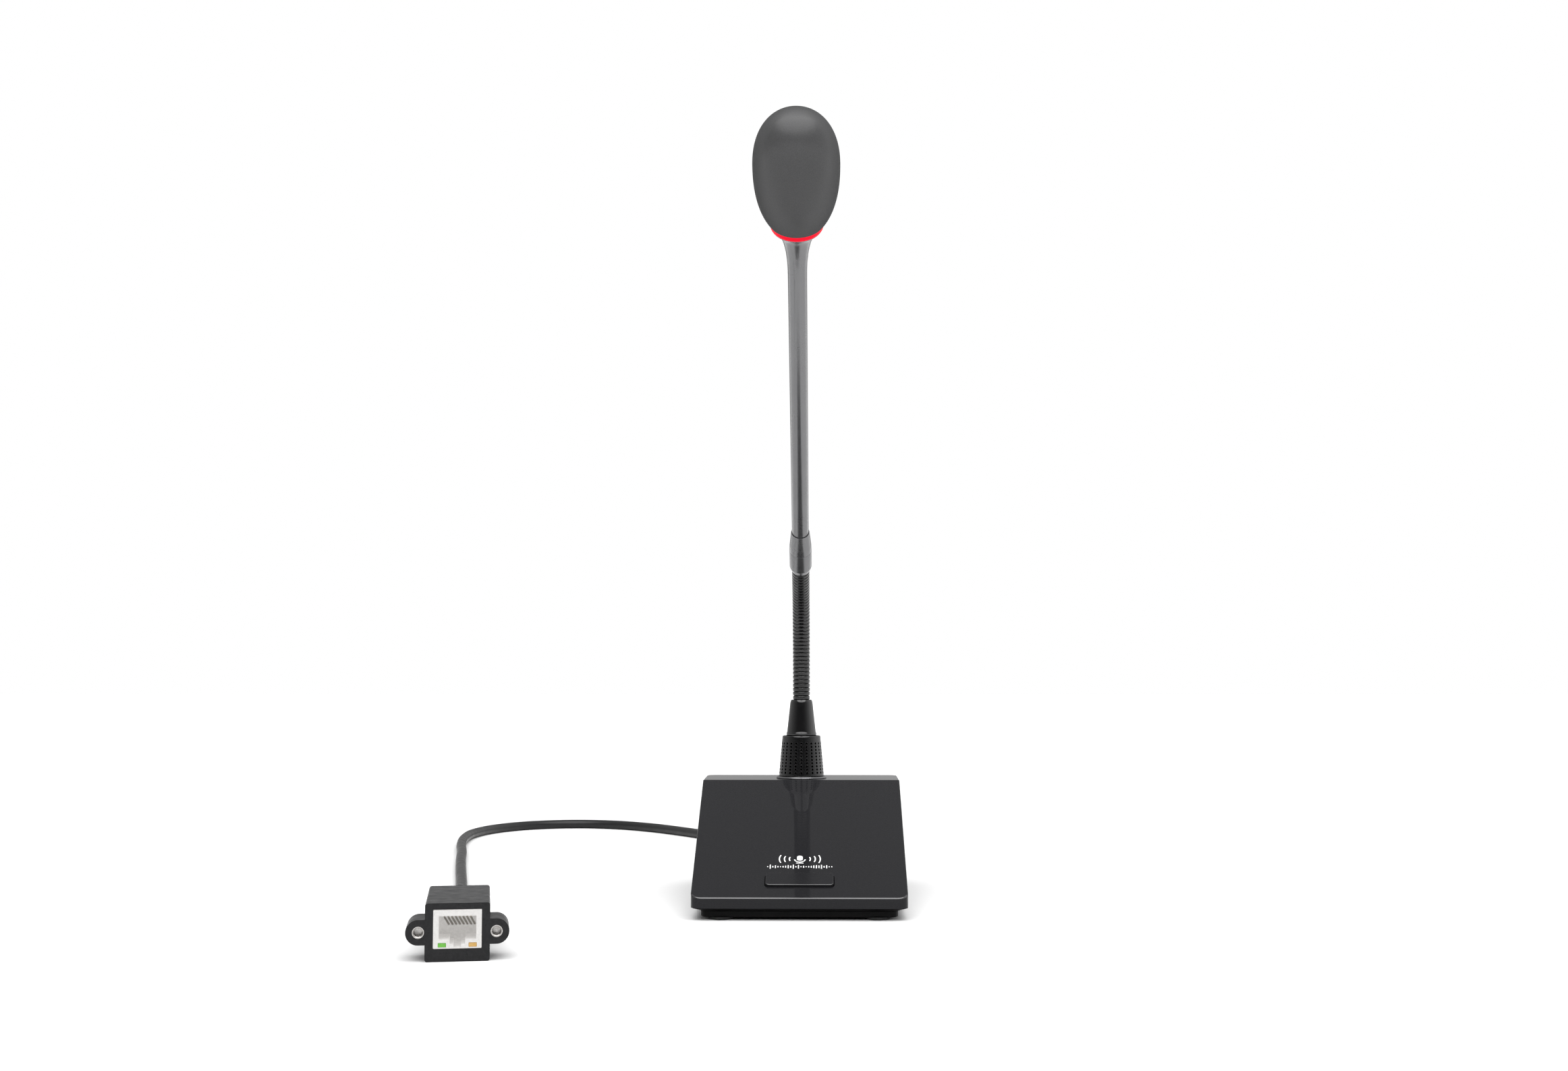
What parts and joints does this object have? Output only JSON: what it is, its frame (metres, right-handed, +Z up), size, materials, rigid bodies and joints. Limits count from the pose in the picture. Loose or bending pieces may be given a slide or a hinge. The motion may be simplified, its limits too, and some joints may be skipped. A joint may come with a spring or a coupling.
{
  "type": "gooseneck podium microphone",
  "caption": "Desk microphone: a wedge base with a talk button and socket carries a bending neck, a rigid tube, a light ring and a foam windscreen; a network cable ends in a panel jack.",
  "frame": {"origin": "on the surface that the feet stand on, in the middle of the box of base, neck and head", "axes": "+Z up, -Y towards the talker, X across the base"},
  "size_m": [0.2367, 0.5193, 0.2894],
  "materials": {
    "cover_gloss": "high gloss",
    "black_plastic": "fine matte texture",
    "button_plastic": "satin",
    "steel": "plain",
    "circuit_board": "solder resist",
    "bright_metal": "polished",
    "rubber": "matte",
    "cable_jacket": "satin jacket",
    "jack_plastic": "satin",
    "contact_gold": "bright",
    "led_green": "clear lens",
    "led_amber": "clear lens",
    "black_metal": "satin",
    "tube_metal": "satin gunmetal",
    "ring_red": "lit from inside",
    "foam": "open-cell foam"
  },
  "bodies": {
    "base": {"top_cover": "cover_gloss", "bottom_pan": "black_plastic", "ballast_plate": "steel", "main_board": "circuit_board", "network_transformer": "black_plastic", "processor_shield": "bright_metal", "capacitor_1": "bright_metal", "capacitor_2": "bright_metal", "board_screw_1": "steel", "board_screw_2": "steel", "board_screw_3": "steel", "board_screw_4": "steel", "base_screw_1": "steel", "base_screw_2": "steel", "base_screw_3": "steel", "base_screw_4": "steel", "foot_1": "rubber", "foot_2": "rubber", "foot_3": "rubber", "foot_4": "rubber", "switch_body": "black_plastic", "switch_board": "circuit_board", "mic_socket": "black_plastic", "socket_bezel": "bright_metal", "cable_gland": "rubber", "network_cable": "cable_jacket", "connector_boot": "black_plastic", "connector_housing": "black_plastic", "rj45_jack": "jack_plastic", "contact_comb": "contact_gold", "led_green": "led_green", "led_amber": "led_amber", "insert_left": "bright_metal", "insert_right": "bright_metal"},
    "talk_button": {"talk_button": "button_plastic"},
    "mic_plug": {"grip_collar": "black_metal", "plug_insert": "black_plastic", "plug_pin_1": "bright_metal", "plug_pin_2": "bright_metal", "plug_pin_3": "bright_metal", "cone_boot": "black_metal", "neck_root": "black_metal"},
    "neck_1": {"neck_link_1": "black_metal"},
    "neck_2": {"neck_link_2": "black_metal"},
    "neck_3": {"neck_link_3": "black_metal"},
    "neck_4": {"neck_link_4": "black_metal"},
    "neck_5": {"neck_link_5": "black_metal"},
    "neck_6": {"neck_link_6": "black_metal"},
    "neck_7": {"neck_link_7": "black_metal"},
    "head": {"neck_tip": "black_metal", "ferrule_lower": "tube_metal", "ferrule_upper": "tube_metal", "upper_tube": "tube_metal", "light_ring": "ring_red", "ring_board": "circuit_board", "capsule_holder": "black_plastic", "capsule": "bright_metal", "capsule_grille": "steel"},
    "windscreen": {"windscreen": "foam"}
  },
  "joints": [
    {"name": "talk_press", "type": "slide", "parent": "base", "child": "talk_button", "axis": [0, 0.3936, -0.9193], "range_m": [0, 0.0008], "stiffness_N_per_m": 500, "springref_m": -0.0006},
    {"name": "plug_pull", "type": "slide", "parent": "base", "child": "mic_plug", "axis": [0, 0, 1], "range_m": [0, 0.03]},
    {"name": "neck_nod", "type": "hinge", "parent": "mic_plug", "child": "neck_1", "pos_m": [0, 0.09785, 0.0874], "axis": [1, 0, 0], "range_deg": [-20, 8]},
    {"name": "neck_sway", "type": "hinge", "parent": "neck_1", "child": "neck_2", "pos_m": [0, 0.09762, 0.09569], "axis": [0, 0.9955, 0.0945], "range_deg": [-15, 15]},
    {"name": "neck_nod_2", "type": "hinge", "parent": "neck_2", "child": "neck_3", "pos_m": [0, 0.09618, 0.10386], "axis": [1, 0, 0], "range_deg": [-20, 8]},
    {"name": "neck_sway_2", "type": "hinge", "parent": "neck_3", "child": "neck_4", "pos_m": [0, 0.09345, 0.11169], "axis": [0, 0.915, 0.4033], "range_deg": [-15, 15]},
    {"name": "neck_nod_3", "type": "hinge", "parent": "neck_4", "child": "neck_5", "pos_m": [0, 0.08951, 0.11898], "axis": [1, 0, 0], "range_deg": [-20, 8]},
    {"name": "neck_sway_3", "type": "hinge", "parent": "neck_5", "child": "neck_6", "pos_m": [0, 0.08446, 0.12555], "axis": [0, 0.7414, 0.6711], "range_deg": [-15, 15]},
    {"name": "neck_nod_4", "type": "hinge", "parent": "neck_6", "child": "neck_7", "pos_m": [0, 0.07842, 0.13124], "axis": [1, 0, 0], "range_deg": [-20, 8]},
    {"name": "neck_sway_4", "type": "hinge", "parent": "neck_7", "child": "head", "pos_m": [0, 0.07188, 0.13635], "axis": [0, 0.6157, 0.788], "range_deg": [-15, 15]},
    {"name": "windscreen_pull", "type": "slide", "parent": "head", "child": "windscreen", "axis": [0, -0.788, 0.6157], "range_m": [0, 0.06]}
  ]
}
